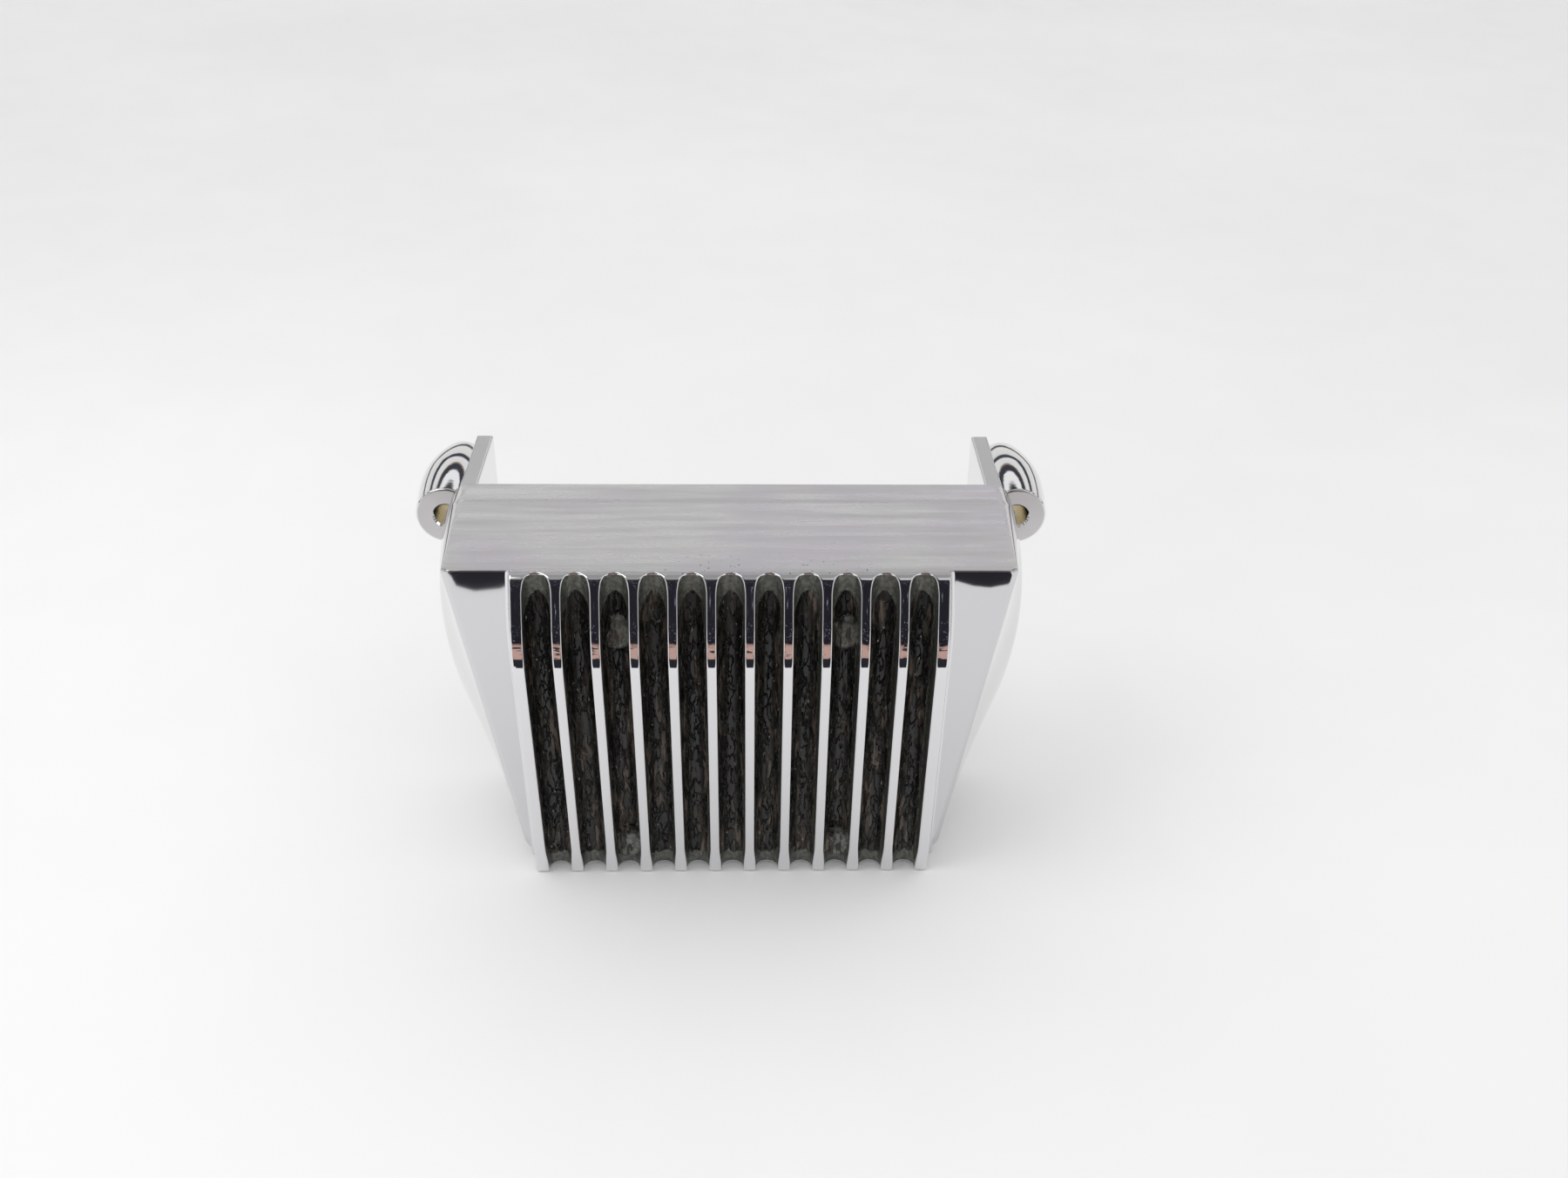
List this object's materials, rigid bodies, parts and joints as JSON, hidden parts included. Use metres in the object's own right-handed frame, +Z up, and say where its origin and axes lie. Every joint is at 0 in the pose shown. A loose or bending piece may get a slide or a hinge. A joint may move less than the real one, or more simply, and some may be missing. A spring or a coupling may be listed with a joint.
{
  "type": "finned cover",
  "caption": "Chromed die-cast cover with upright cooling fins on its front and two long bolt ears behind its top corners, closed behind by a rubber-mounted frame.",
  "frame": {"origin": "midway between the two ear holes, on the rear faces of the ears", "axes": "+Y along the ear bolts, towards what the ears bolt to; +X to the right seen from the front; +Z up"},
  "size_m": [0.1842, 0.0923, 0.1014],
  "materials": {
    "chrome_casting": "polished chrome, hazy with age, black paint in the channels",
    "chrome_ear": "polished chrome",
    "black_frame": "satin black paint",
    "rubber": "matte",
    "zinc_steel": "bright zinc plate",
    "brass_bush": "turned, slightly dull"
  },
  "bodies": {
    "root": {"finned_cover": "chrome_casting", "edge_seal": "rubber", "back_frame": "black_frame", "isolation_grommets": "rubber", "grommet_sleeves": "zinc_steel", "cover_washers": "zinc_steel", "cover_lock_washers": "zinc_steel", "cover_screws": "zinc_steel", "left_ear": "chrome_ear", "right_ear": "chrome_ear", "left_ear_bush": "brass_bush", "right_ear_bush": "brass_bush", "ear_washers": "zinc_steel", "ear_lock_washers": "zinc_steel", "ear_screws": "zinc_steel"}
  },
  "joints": []
}
